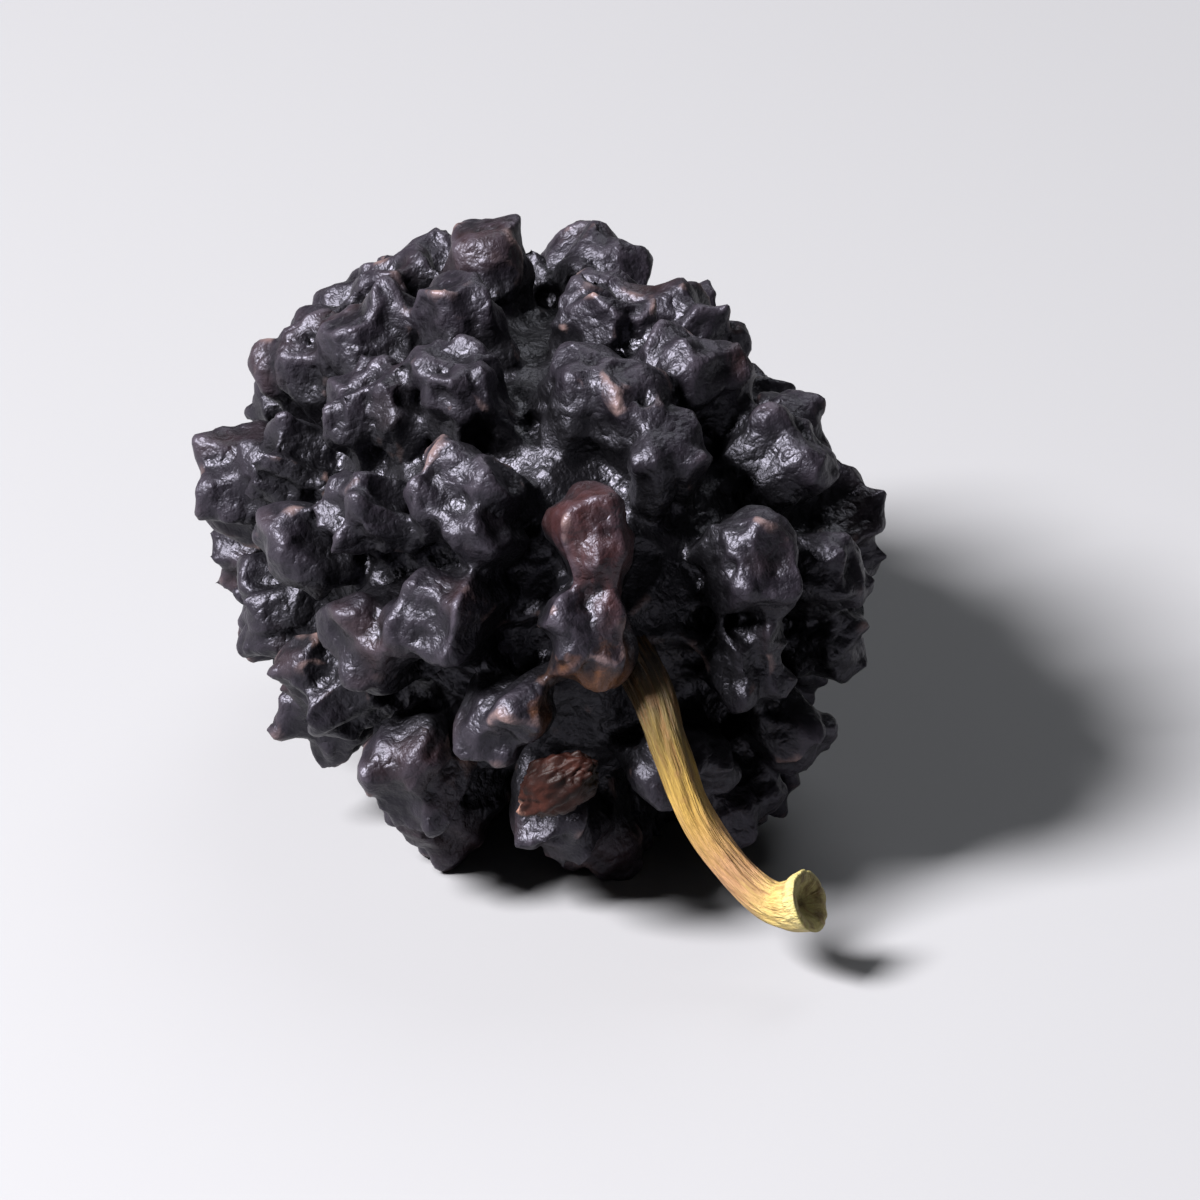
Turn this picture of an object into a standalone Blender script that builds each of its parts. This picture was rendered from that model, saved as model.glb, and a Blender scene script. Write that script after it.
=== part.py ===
"""A dried black mulberry lying on its side: wrinkled drupelets grown together, a seed in a split, a stalk."""
import math
import random

import bmesh
import bpy
import numpy as np
from mathutils import Matrix, Vector

MM = 0.001

# Driving dimensions of the fruit, in metres, over its drupelets
FRUIT_LENGTH = 20.4 * MM
FRUIT_WIDTH = 15.0 * MM
FRUIT_HEIGHT = 13.8 * MM
FRUIT_CENTRE = Vector((-1.77 * MM, 0.28 * MM, 5.82 * MM))

# The surface through the drupelets' middles: its ends' roundness, its taper to the tip and its sideways bend
BODY_POWER = 2.5
END_TAPER = 0.16
BEND = 0.9 * MM
BEND_LEVEL = 0.4
LAST_PLACE = 0.995
FRAME_STEP = 0.01

# The drupelets, set in a spiral round the middle of the fruit
DRUPELET_COUNT = 78
DRUPELET_HEIGHT = 1.75 * MM
DRUPELET_HALF_WIDTH = 1.56 * MM
GOLDEN_ANGLE = math.radians(137.508)
SPIRAL_SKIP = 1.6
PLACE_SAMPLES = 400
TIP_LEAN = 0.22
STALK_GAP = 0.97

# How far one drupelet differs from the next, as lowest and highest values
SEED_OF_DRAW = 11
ALONG_RANGE = (-0.022, 0.022)
ANGLE_RANGE = (-0.10, 0.10)
SIZE_RANGE = (0.90, 1.14)
STRETCH_RANGE = (0.90, 1.16)
TURN_RANGE = (-0.7, 0.7)
LIFT_RANGE = (-0.42 * MM, 0.30 * MM)
PHASE_RANGE = (0.0, 2.0 * math.pi)

# One drupelet's relief, as shares of its radius: the creases between its four tepals, the pit at its tip
# and how uneven the tepals are, once and twice round it
CREASE_LEAST = 0.30
CREASE_GROWTH = 0.28
CREASE_SHARPNESS = 0.65
CREASE_REACH = 1.5
PIT_LEAST = 0.30
PIT_GROWTH = 0.45
PIT_ANGLE = 0.45
PIT_SPREAD = 0.12
PIT_STEEPNESS = 3
UNEVEN_ONCE = 0.07
UNEVEN_TWICE = 0.06
DRUPELET_SEGMENTS = 12
DRUPELET_RINGS = 7

# The middle of the fruit, just under the surface that the drupelets are centred on
MIDDLE_GROWTH = 0.98
MIDDLE_SEGMENTS = 18
MIDDLE_RINGS = 12

# The stalk, as points in mm from the fruit's centre, root to free end, with the share of its radius at each
STALK_RADIUS = 0.49 * MM
STALK_POINTS = (
    ((7.1, -0.1, 0.3), 1.35),
    ((8.7, 0.0, -0.1), 1.20),
    ((9.6, 0.12, -1.05), 1.0),
    ((10.3, 0.44, -2.3), 0.92),
    ((11.0, 1.03, -3.35), 0.92),
    ((11.6, 1.64, -3.95), 1.02),
    ((12.05, 2.08, -3.95), 1.28),
    ((12.35, 2.4, -3.75), 1.55),
)
STALK_BEVEL_RESOLUTION = 3
STALK_STEPS = 3
SCAR_RADIUS = 0.56 * MM
SCAR_DEPTH_SHARE = 0.45
SCAR_SEGMENTS = 12
SCAR_RINGS = 8

# The seed that shows in a split of the skin
SEED_HALF_SIZE = (1.25 * MM, 0.82 * MM, 0.64 * MM)
SEED_ALONG = 0.92
SEED_ANGLE = math.radians(-143.0)
SEED_TURN = math.radians(15.0)
SEED_DEPTH = 0.55 * MM
SEED_POINT = 0.35
SEED_POINT_POWER = 1.5
SEED_SEGMENTS = 12
SEED_RINGS = 8

CLEARANCE = 0.3 * MM
WELD = 0.001 * MM
FLOOR_SIZE = 60.0 * MM
SHARP_ANGLE = math.radians(50.0)

# Colour and roughness of each piece
SKIN_FINISH = ((0.014, 0.010, 0.014), 0.42)
STRAW_FINISH = ((0.50, 0.34, 0.11), 0.55)
COAT_FINISH = ((0.22, 0.06, 0.025), 0.38)


def material(name, finish):
    """A plain finish in the piece's own colour."""
    colour, roughness = finish
    made = bpy.data.materials.new(name)
    made.use_nodes = True
    shader = made.node_tree.nodes["Principled BSDF"]
    shader.inputs["Base Color"].default_value = (*colour, 1.0)
    shader.inputs["Roughness"].default_value = roughness
    shader.inputs["Metallic"].default_value = 0.0
    return made


def add_object(name, mesh, collection, finish=None):
    """Links a mesh to a collection as a named object."""
    made = bpy.data.objects.new(name, mesh)
    collection.objects.link(made)
    if finish is not None:
        mesh.materials.clear()
        mesh.materials.append(finish)
    return made


def clamp(value, lowest, highest):
    """The value, kept between two limits."""
    return max(lowest, min(highest, value))


def body_radius(along):
    """Share of the widest radius that the fruit has at a place from -1, its tip, to 1, its stalk end."""
    round_ends = max(0.0, 1.0 - abs(along) ** BODY_POWER) ** 0.5
    return round_ends * (1.0 + END_TAPER * along)


def body_point(along, angle):
    """A point of the surface through the drupelets' middles, from the fruit's centre."""
    half_length = FRUIT_LENGTH / 2.0 - DRUPELET_HEIGHT
    half_width = FRUIT_WIDTH / 2.0 - DRUPELET_HEIGHT
    half_height = FRUIT_HEIGHT / 2.0 - DRUPELET_HEIGHT
    radius = body_radius(along)
    x = along * half_length
    y = radius * half_width * math.cos(angle) + BEND * (along * along - BEND_LEVEL)
    z = radius * half_height * math.sin(angle)
    return Vector((x, y, z))


def body_frame(along, angle):
    """Towards-the-tip, sideways and outward directions at a point of that surface, as a matrix's columns."""
    inner = clamp(along, -LAST_PLACE, LAST_PLACE)
    towards_tip = body_point(max(inner - FRAME_STEP, -1.0), angle)
    towards_stalk = body_point(min(inner + FRAME_STEP, 1.0), angle)
    lengthways = towards_tip - towards_stalk
    sideways = body_point(inner, angle + FRAME_STEP) - body_point(inner, angle - FRAME_STEP)
    outward = sideways.cross(lengthways).normalized()
    if outward.dot(body_point(inner, angle)) < 0.0:
        outward.negate()
    lean = TIP_LEAN * (1.0 - abs(along)) * Vector((1.0, 0.0, 0.0))
    outward = (outward - lean).normalized()
    lengthways = (lengthways - outward * lengthways.dot(outward)).normalized()
    return Matrix((lengthways, outward.cross(lengthways), outward)).transposed()


def even_places(count):
    """Places along the fruit that share out its surface evenly, from the stalk end to the tip."""
    along = np.linspace(1.0, -1.0, PLACE_SAMPLES)
    points = [(value * FRUIT_LENGTH / 2.0, body_radius(value) * FRUIT_WIDTH / 2.0) for value in along]
    area = [0.0]
    for (x0, r0), (x1, r1) in zip(points, points[1:]):
        area.append(area[-1] + (r0 + r1) * math.hypot(x1 - x0, r1 - r0))
    wanted = (np.arange(count) + SPIRAL_SKIP) / (count + SPIRAL_SKIP) * area[-1]
    return np.interp(wanted, area, along)


def drupelet_layout():
    """Every drupelet's centre, frame, half sizes, share of shrinking and phase, drawn from one seed."""
    draw = random.Random(SEED_OF_DRAW)
    layout = []
    for index, place in enumerate(even_places(DRUPELET_COUNT)):
        along = clamp(float(place) + draw.uniform(*ALONG_RANGE), -LAST_PLACE, STALK_GAP)
        angle = index * GOLDEN_ANGLE + draw.uniform(*ANGLE_RANGE)
        shrunk = draw.random()
        size = draw.uniform(*SIZE_RANGE)
        stretch = draw.uniform(*STRETCH_RANGE)
        turn = draw.uniform(*TURN_RANGE)
        lift = draw.uniform(*LIFT_RANGE)
        phase = draw.uniform(*PHASE_RANGE)
        frame = body_frame(along, angle)
        centre = body_point(along, angle) + frame.col[2] * lift
        half_width = size * DRUPELET_HALF_WIDTH
        half = Vector((half_width * stretch, half_width / stretch, size * DRUPELET_HEIGHT))
        layout.append((centre, frame @ Matrix.Rotation(turn, 3, "Z"), half, shrunk, phase))
    return layout


def drupelet_relief(polar, azimuth, shrunk, phase):
    """Radius factor of one drupelet: four uneven tepals parted by creases that meet at a pit in its tip."""
    reach = math.sin(min(polar * CREASE_REACH, math.pi / 2.0))
    tepal = abs(math.sin(2.0 * azimuth)) ** CREASE_SHARPNESS
    crease = (CREASE_LEAST + CREASE_GROWTH * shrunk) * (1.0 - tepal) * reach
    pit_angle = PIT_ANGLE + PIT_SPREAD * shrunk
    pit = (PIT_LEAST + PIT_GROWTH * shrunk) * math.exp(-((polar / pit_angle) ** PIT_STEEPNESS))
    uneven = UNEVEN_ONCE * math.cos(azimuth + 2.0 * phase)
    uneven += UNEVEN_TWICE * math.cos(2.0 * azimuth + 3.0 * phase)
    return 1.0 - crease - pit + uneven * reach


def mesh_of(shape, name):
    """A mesh with the given name from a bmesh, which is freed."""
    mesh = bpy.data.meshes.new(name)
    shape.to_mesh(mesh)
    shape.free()
    return mesh


def drupelet_mesh(centre, frame, half, shrunk, phase):
    """A low-sided closed drupelet, in world space."""
    shape = bmesh.new()
    bmesh.ops.create_uvsphere(shape, u_segments=DRUPELET_SEGMENTS, v_segments=DRUPELET_RINGS, radius=1.0)
    for vertex in shape.verts:
        polar = math.acos(clamp(vertex.co.z, -1.0, 1.0))
        azimuth = math.atan2(vertex.co.y, vertex.co.x)
        vertex.co *= drupelet_relief(polar, azimuth, shrunk, phase)
        scaled = Vector((vertex.co.x * half.x, vertex.co.y * half.y, vertex.co.z * half.z))
        vertex.co = FRUIT_CENTRE + centre + frame @ scaled
    return mesh_of(shape, "drupelet")


def middle_mesh():
    """The fruit's middle, which the drupelets stand out of."""
    shape = bmesh.new()
    bmesh.ops.create_uvsphere(shape, u_segments=MIDDLE_SEGMENTS, v_segments=MIDDLE_RINGS, radius=1.0)
    for vertex in shape.verts:
        along = clamp(vertex.co.z, -1.0, 1.0)
        angle = math.atan2(vertex.co.y, vertex.co.x)
        vertex.co = FRUIT_CENTRE + body_point(along, angle) * MIDDLE_GROWTH
    bmesh.ops.remove_doubles(shape, verts=shape.verts, dist=WELD)
    bmesh.ops.recalc_face_normals(shape, faces=shape.faces)
    return mesh_of(shape, "middle")


def evaluated_mesh(source):
    """The object's mesh with its modifiers applied, in world space, with its loose caps welded."""
    bpy.context.view_layer.update()
    graph = bpy.context.evaluated_depsgraph_get()
    mesh = bpy.data.meshes.new_from_object(source.evaluated_get(graph))
    mesh.transform(source.matrix_world)
    shape = bmesh.new()
    shape.from_mesh(mesh)
    bmesh.ops.remove_doubles(shape, verts=shape.verts, dist=WELD)
    shape.to_mesh(mesh)
    shape.free()
    return mesh


def cut(target, name, mesh, cutters):
    """Takes a mesh's shape out of an object, with a cutter that isn't rendered."""
    cutter = add_object(name, mesh, cutters)
    cutter.hide_render = True
    cutter.display_type = "WIRE"
    modifier = target.modifiers.new(name, "BOOLEAN")
    modifier.operation = "DIFFERENCE"
    modifier.solver = "EXACT"
    modifier.object = cutter


def linked_faces(start):
    """The faces that hang together with the one given, itself included."""
    found = {start}
    waiting = [start]
    while waiting:
        for edge in waiting.pop().edges:
            fresh = [face for face in edge.link_faces if face not in found]
            found.update(fresh)
            waiting.extend(fresh)
    return found


def fill_sealed_hollows(mesh):
    """Keeps only the mesh's largest body, so that small hollows sealed between the drupelets are filled."""
    shape = bmesh.new()
    shape.from_mesh(mesh)
    bodies = []
    seen = set()
    for face in shape.faces:
        if face not in seen:
            bodies.append(linked_faces(face))
            seen.update(bodies[-1])
    largest = max(bodies, key=len)
    sealed = [face for face in shape.faces if face not in largest]
    bmesh.ops.delete(shape, geom=sealed, context="FACES")
    shape.to_mesh(mesh)
    shape.free()


def joined_drupelets():
    """The drupelets and the fruit's middle, joined in one mesh."""
    drupelets = bpy.data.collections.new("drupelets")
    bpy.context.scene.collection.children.link(drupelets)
    for index, drupelet in enumerate(drupelet_layout()):
        add_object(f"drupelet_{index:02d}", drupelet_mesh(*drupelet), drupelets)
    middle = add_object("middle", middle_mesh(), bpy.context.scene.collection)
    union = middle.modifiers.new("union", "BOOLEAN")
    union.operation = "UNION"
    union.solver = "EXACT"
    union.operand_type = "COLLECTION"
    union.collection = drupelets
    joined = evaluated_mesh(middle)
    for piece in [*drupelets.objects, middle]:
        bpy.data.objects.remove(piece)
    bpy.data.collections.remove(drupelets)
    fill_sealed_hollows(joined)
    return joined


def stalk_mesh(extra_radius, name):
    """The stalk as a bevelled curve, thicker all round by extra_radius, turned into a closed mesh."""
    curve = bpy.data.curves.new(name, "CURVE")
    curve.dimensions = "3D"
    curve.bevel_depth = STALK_RADIUS
    curve.bevel_resolution = STALK_BEVEL_RESOLUTION
    curve.use_fill_caps = True
    spline = curve.splines.new("BEZIER")
    spline.bezier_points.add(len(STALK_POINTS) - 1)
    spline.resolution_u = STALK_STEPS
    for bezier, (place, share) in zip(spline.bezier_points, STALK_POINTS):
        bezier.co = FRUIT_CENTRE + Vector(place) * MM
        bezier.handle_left_type = "AUTO"
        bezier.handle_right_type = "AUTO"
        bezier.radius = share + extra_radius / STALK_RADIUS
    holder = bpy.data.objects.new(name, curve)
    bpy.context.scene.collection.objects.link(holder)
    mesh = evaluated_mesh(holder)
    bpy.data.objects.remove(holder)
    return mesh


def seed_mesh(name, extra):
    """A flattened seed, pointed at the end towards the fruit's tip, with its flat side facing out."""
    frame = body_frame(SEED_ALONG, SEED_ANGLE)
    centre = body_point(SEED_ALONG, SEED_ANGLE) + frame.col[2] * (DRUPELET_HEIGHT - SEED_DEPTH)
    frame = frame @ Matrix.Rotation(SEED_TURN, 3, "Z")
    half_length, half_width, half_thickness = (half + extra for half in SEED_HALF_SIZE)
    shape = bmesh.new()
    bmesh.ops.create_uvsphere(shape, u_segments=SEED_SEGMENTS, v_segments=SEED_RINGS, radius=1.0)
    for vertex in shape.verts:
        x, y, z = vertex.co.z, vertex.co.x, vertex.co.y
        narrowing = 1.0 - SEED_POINT * max(0.0, x) ** SEED_POINT_POWER
        scaled = Vector((x * half_length, y * narrowing * half_width, z * narrowing * half_thickness))
        vertex.co = FRUIT_CENTRE + centre + frame @ scaled
    return mesh_of(shape, name)


def floor_mesh():
    """A block under the surface that the fruit lies on."""
    shape = bmesh.new()
    bmesh.ops.create_cube(shape, size=FLOOR_SIZE)
    bmesh.ops.translate(shape, verts=shape.verts, vec=(0.0, 0.0, -FLOOR_SIZE / 2.0))
    return mesh_of(shape, "floor_cut")


def scar_mesh():
    """A ball that hollows the stalk's free end."""
    last, before = (FRUIT_CENTRE + Vector(STALK_POINTS[index][0]) * MM for index in (-1, -2))
    centre = last + (last - before).normalized() * SCAR_RADIUS * (1.0 - SCAR_DEPTH_SHARE)
    shape = bmesh.new()
    bmesh.ops.create_uvsphere(shape, u_segments=SCAR_SEGMENTS, v_segments=SCAR_RINGS, radius=SCAR_RADIUS)
    bmesh.ops.translate(shape, verts=shape.verts, vec=centre)
    return mesh_of(shape, "scar")


def make_fruit(parts, cutters):
    """The joined drupelets, flattened where they rest, with sockets for the stalk and the seed."""
    fruit = add_object("fruit", joined_drupelets(), parts, material("fruit_skin", SKIN_FINISH))
    cut(fruit, "floor_cut", floor_mesh(), cutters)
    cut(fruit, "stalk_socket", stalk_mesh(CLEARANCE, "stalk_socket"), cutters)
    cut(fruit, "seed_pocket", seed_mesh("seed_pocket", CLEARANCE), cutters)


def make_stalk(parts, cutters):
    """The stalk, with the hollow scar where it left the twig."""
    stalk = add_object("stalk", stalk_mesh(0.0, "stalk"), parts, material("stalk_straw", STRAW_FINISH))
    cut(stalk, "scar", scar_mesh(), cutters)


def make_seed(parts):
    """The seed in its pocket."""
    add_object("seed", seed_mesh("seed", 0.0), parts, material("seed_coat", COAT_FINISH))


def main():
    """Clears the scene and builds the three pieces."""
    for existing in list(bpy.data.objects):
        bpy.data.objects.remove(existing)
    parts = bpy.data.collections.new("dried_mulberry")
    cutters = bpy.data.collections.new("cutters")
    bpy.context.scene.collection.children.link(parts)
    bpy.context.scene.collection.children.link(cutters)
    make_fruit(parts, cutters)
    make_stalk(parts, cutters)
    make_seed(parts)
    for piece in parts.objects:
        piece.data.shade_smooth()
        piece.data.set_sharp_from_angle(angle=SHARP_ANGLE)


main()
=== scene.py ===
"""The looks of a dried black mulberry: wrinkled skin over drupelets, a furrowed stalk and a dull seed."""
import math
import random

import bmesh
import bpy
import numpy as np
from mathutils import Matrix, Vector, noise


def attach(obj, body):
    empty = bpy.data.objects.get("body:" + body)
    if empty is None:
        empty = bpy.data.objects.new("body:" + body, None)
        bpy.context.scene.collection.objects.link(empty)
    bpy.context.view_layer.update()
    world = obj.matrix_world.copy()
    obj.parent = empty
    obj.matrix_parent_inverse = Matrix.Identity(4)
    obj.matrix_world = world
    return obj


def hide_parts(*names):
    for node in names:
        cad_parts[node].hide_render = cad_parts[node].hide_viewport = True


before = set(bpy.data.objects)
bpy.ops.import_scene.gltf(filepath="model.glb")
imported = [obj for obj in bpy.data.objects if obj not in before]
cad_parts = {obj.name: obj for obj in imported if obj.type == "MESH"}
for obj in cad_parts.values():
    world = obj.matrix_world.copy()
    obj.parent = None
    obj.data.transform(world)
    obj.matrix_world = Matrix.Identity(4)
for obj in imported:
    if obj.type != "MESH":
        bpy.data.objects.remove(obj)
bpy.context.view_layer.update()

MM = 0.001

# The fruit's driving dimensions, in metres, the same as the solids'
FRUIT_LENGTH = 20.4 * MM
FRUIT_WIDTH = 15.0 * MM
FRUIT_HEIGHT = 13.8 * MM
FRUIT_CENTRE = Vector((-1.77 * MM, 0.28 * MM, 5.82 * MM))
BODY_POWER = 2.5
END_TAPER = 0.16
BEND = 0.9 * MM
BEND_LEVEL = 0.4
LAST_PLACE = 0.995
FRAME_STEP = 0.01

# The middle that the drupelets stand on, slimmer than the solids' so that the gaps are deeper
MIDDLE_GROWTH = 0.88

# The drupelets' spiral and the draws that tell one from the next, the same as the solids'
DRUPELET_COUNT = 78
DRUPELET_HEIGHT = 1.75 * MM
DRUPELET_HALF_WIDTH = 1.56 * MM
GOLDEN_ANGLE = math.radians(137.508)
SPIRAL_SKIP = 1.6
PLACE_SAMPLES = 400
TIP_LEAN = 0.22
STALK_GAP = 0.97
SEED_OF_DRAW = 11
ALONG_RANGE = (-0.022, 0.022)
ANGLE_RANGE = (-0.10, 0.10)
SIZE_RANGE = (0.90, 1.14)
STRETCH_RANGE = (0.90, 1.16)
TURN_RANGE = (-0.7, 0.7)
LIFT_RANGE = (-0.42 * MM, 0.30 * MM)
PHASE_RANGE = (0.0, 2.0 * math.pi)

# One drupelet's main relief, as shares of its radius, the same as the solids'
TEPALS = 4
CREASE_LEAST = 0.30
CREASE_GROWTH = 0.28
CREASE_SHARPNESS = 0.65
CREASE_REACH = 1.5
PIT_LEAST = 0.30
PIT_GROWTH = 0.45
PIT_ANGLE = 0.45
PIT_SPREAD = 0.12
PIT_STEEPNESS = 3
UNEVEN_ONCE = 0.07
UNEVEN_TWICE = 0.06

# One drupelet's finer relief, as shares of its radius, and the draws that bend its tepals
TEPAL_DRAW = 1000
LONGER_RANGE = (0.05, 0.30)
SWIRL_RANGE = (-0.45, 0.45)
SWIRL_CENTRE = 0.8
SWAY_RANGE = (0.12, 0.38)
GROOVE_LEAST = 0.05
GROOVE_GROWTH = 0.18
GROOVE_WIDTH = 0.12
GROOVE_START = 0.25
GROOVE_REACH = 1.6
WAIST_DEPTH = 0.15
WAIST_START = 0.7
WAIST_SPAN = 0.7
CREST_STRETCH = (2.2, 1.0, 1.2)
CREST_WIDTH = 0.20
CREST_MEAN = 0.40
CREST_SHIFT = 3.1
SHRIVEL_LEAST = 0.08
SHRIVEL_GROWTH = 0.12
LUMP_HEIGHT = 0.10
LUMP_SCALE = 1.4
LUMP_SHIFT = 5.7

# The fine mesh of the skin, and how many rounds each of its smoothings takes
DRUPELET_SEGMENTS = 64
DRUPELET_RINGS = 40
VOXEL = 0.105 * MM
MOST_TRIANGLES = 195000
SMOOTH_SHARE = 0.5
FIRST_ROUNDS = 4
PEAK_ROUNDS = (8, 30)
LAST_ROUNDS = 1
LAST_PEAK_ROUNDS = 5
PEAK_SHARE = 0.8
NEAR_ROUNDS = 8
WIDE_ROUNDS = 40
BATCH = 20000
NEARLY_NOTHING = 1e-9

# The skin's wrinkles: ridges as height in mm, scale, shift in the noise and width, folds without the width
NOISE_SHIFT = (1.0, 0.37, -0.71)
DRIFT_SCALE = 0.5
DRIFT_SHIFT = 11.0
DRIFT_REACH = 0.7
WRINKLE_RIDGES = ((0.26, 0.62, 2.0, 0.14), (0.09, 1.5, 5.0, 0.12))
WRINKLE_FOLDS = ((0.12, 1.3, 8.0), (0.10, 2.9, 15.0))
WRINKLE_MEAN = 0.22

# Where the skin isn't black: drupelets that stayed maroon, and the amber tissue beside the stalk,
# as places in mm from the fruit's centre with their reach
TINT_DRAW = 78
TINT_BLUR = 14
MAROON_CHANCE = 0.07
MAROON_STRENGTH = 0.6
MAROON_SPOT = ((8.6, -0.5, 2.9), 1.8)
AMBER_SPOT = ((9.2, -1.3, 0.0), 2.2)

# The stalk's path as the solid has it: places in mm from the fruit's centre, with the share of its radius
STALK_RADIUS = 0.49 * MM
STALK_POINTS = (
    ((7.1, -0.1, 0.3), 1.35),
    ((8.7, 0.0, -0.1), 1.20),
    ((9.6, 0.12, -1.05), 1.0),
    ((10.3, 0.44, -2.3), 0.92),
    ((11.0, 1.03, -3.35), 0.92),
    ((11.6, 1.64, -3.95), 1.02),
    ((12.05, 2.08, -3.95), 1.28),
    ((12.35, 2.4, -3.75), 1.55),
)
STALK_SIDES = 72
STALK_STEPS = 16

# The stalk's relief, as shares of its radius, with the scale and place of each noise
STALK_LEAST = 0.74
STALK_GAIN = 0.14
STALK_MOST = 0.93
STALK_NOISE_STEP = 0.018
FURROW_HEIGHT = 0.26
FURROW_SCALE = 2.3
KNOB_HEIGHT = 0.12
KNOB_SCALE = 1.1
KNOB_PLACE = Vector((4.0, 4.0, 4.0))
RIM_HEIGHT = 0.22
RIM_SCALE = 1.7
RIM_PLACE = Vector((9.0, 2.0, 5.0))
RIM_START = 0.86
RIM_SPAN = 0.14

# The scar at the stalk's free end: its rings' shares of the end's radius and of the depth, from the rim in
SCAR_DEPTH = 0.24 * MM
SCAR_PROFILE = (
    (0.95, -0.05),
    (0.86, -0.07),
    (0.74, 0.0),
    (0.62, 0.22),
    (0.50, 0.55),
    (0.32, 0.86),
    (0.12, 1.0),
)

# The seed in its split, as the solid has it
SEED_HALF_SIZE = (1.25 * MM, 0.82 * MM, 0.64 * MM)
SEED_ALONG = 0.92
SEED_ANGLE = math.radians(-143.0)
SEED_TURN = math.radians(15.0)
SEED_DEPTH = 0.55 * MM
SEED_POINT = 0.35
SEED_POINT_POWER = 1.5

# The seed's pocket and its relief, as shares of its size, with the stretch, scale and shift of each noise
SEED_GAP = 0.10 * MM
SEED_CORE = 0.05
SEED_SEGMENTS = 80
SEED_RINGS = 52
SEED_LEAST = 0.84
KEEL_HEIGHT = 0.16
KEEL_WIDTH = 0.16
SEED_FOLD_HEIGHT = 0.22
SEED_FOLDS = ((1.0, 2.2, 2.2), 1.7, 4.0)
SEED_WRINKLE_HEIGHT = 0.08
SEED_WRINKLES = ((1.0, 2.0, 2.0), 4.5, 6.0)
SEED_DENT_DEPTH = 0.10
SEED_DENT_MEAN = 0.5
SEED_DENTS = ((1.0, 1.0, 1.0), 1.3, 9.0)

# The mix node's sockets for colours, and where a ramp's new stops stand until they are moved
MIX_SHARE = 0
MIX_FIRST = 6
MIX_SECOND = 7
MIX_RESULT = 2
RAMP_MIDDLE = 0.5

# Materials hold noises as scale per mm, detail and roughness, spans as the values that become 0 and 1,
# and colours as linear red, green and blue
NOISE_MIDDLE = (0.3, 0.7)

# The skin's colour, from the main black to the tints, with painted shade that blackens its folds, hollows and
# deep gaps, a grey bloom with painted highlight on its outer crests, and the worn crests
SKIN_PATCHES = (0.35, 2.0, 0.55)
SKIN_STOPS = (
    (0.35, (0.004, 0.003, 0.005)),
    (0.55, (0.006, 0.0045, 0.007)),
    (0.70, (0.013, 0.005, 0.005)),
)
TINT_BLOTCHES = (1.1, 3.0, 0.55)
TINT_SWING = (-0.25, 0.25)
MAROON_SPAN = (0.25, 0.70)
MAROON = (0.026, 0.007, 0.006)
AMBER_SPAN = (0.25, 0.60)
AMBER = (0.10, 0.038, 0.011)
# Painted shade: the skin goes black in its folds, its hollows and deep between the drupelets
PAINTED_FOLD_SHADE_SPAN = (-0.01, 0.06)
PAINTED_FOLD_SHADE = (0.001, 0.0008, 0.001)
PAINTED_HOLLOW_SHADE_SPAN = (0.0, 0.45)
PAINTED_GAP_SHADE_SPAN = (1.30, 1.05)
PAINTED_GAP_SHADE = (0.0005, 0.0004, 0.0005)
# Partly a grey bloom, partly painted highlight: lavender grey lightens the drupelets' outer convex crests
BLOOM_AND_HIGHLIGHT_FOLD = (0.0, -0.05)
BLOOM_AND_HIGHLIGHT_LEVEL = (1.15, 1.40)
BLOOM_AND_HIGHLIGHT_PATCHES = (0.7, 3.0, 0.55)
BLOOM_AND_HIGHLIGHT_SPAN = (0.35, 0.65)
BLOOM_AND_HIGHLIGHT_STRENGTH = (0.2, 0.9)
BLOOM_AND_HIGHLIGHT = (0.034, 0.028, 0.037)
WORN_FOLD = (-0.01, -0.05)
WORN_PATCHES = (0.75, 2.0, 0.55)
WORN_SPAN = (0.60, 0.68)
WORN_TAN = (0.14, 0.092, 0.086)

# The skin's sheen and crinkled grain
SKIN_GRAIN = (3.5, 4.0, 0.6)
SKIN_ROUGHNESS = (0.41, 0.53)
MOIST_HOLLOW = (0.0, 0.3)
MOIST_CHANGE = (0.0, -0.14)
SKIN_SPECULAR = 0.42
SKIN_TINT = (0.86, 0.84, 1.0)
SKIN_CRINKLE = (2.6, 3.0, 0.5)
CRINKLE_MIDDLE = 0.5
CRINKLE_SHARE = 2.5
GRAIN_SHARE = 0.35
SKIN_BUMP = 0.05 * MM

# The stalk's streaks, with no length of their own, and its colour from the root to the scar
STREAKS = (0.005, 4.0, 0.6)
STREAK_STRETCH = (1.0, 1.0, 0.8)
STREAK_SWING = (-0.07, 0.07)
STALK_STOPS = (
    (0.12, (0.022, 0.012, 0.005)),
    (0.28, (0.12, 0.080, 0.018)),
    (0.40, (0.35, 0.22, 0.048)),
    (0.60, (0.35, 0.19, 0.095)),
    (0.78, (0.38, 0.27, 0.080)),
    (0.97, (0.44, 0.36, 0.15)),
    (1.0, (0.36, 0.31, 0.11)),
)
STALK_SPOTS = (2.6, 3.0, 0.55)
SPOT_SPAN = (0.56, 0.70)
SPOT_STRENGTH = 0.45
SPOT_BROWN = (0.16, 0.075, 0.03)
FURROW_SPAN = (0.50, 0.34)
FURROW_STRENGTH = 0.55
FURROW_BROWN = (0.20, 0.10, 0.03)
SCAR_SPAN = (1.0, 1.015)
SCAR_PITH = (3.2, 4.0, 0.6)
PITH_SPAN = (0.46, 0.66)
PITH_BROWN = (0.16, 0.11, 0.035)
STALK_ROUGHNESS = (0.50, 0.66)
STALK_SPECULAR = 0.35
STALK_BUMP = 0.16 * MM

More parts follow.
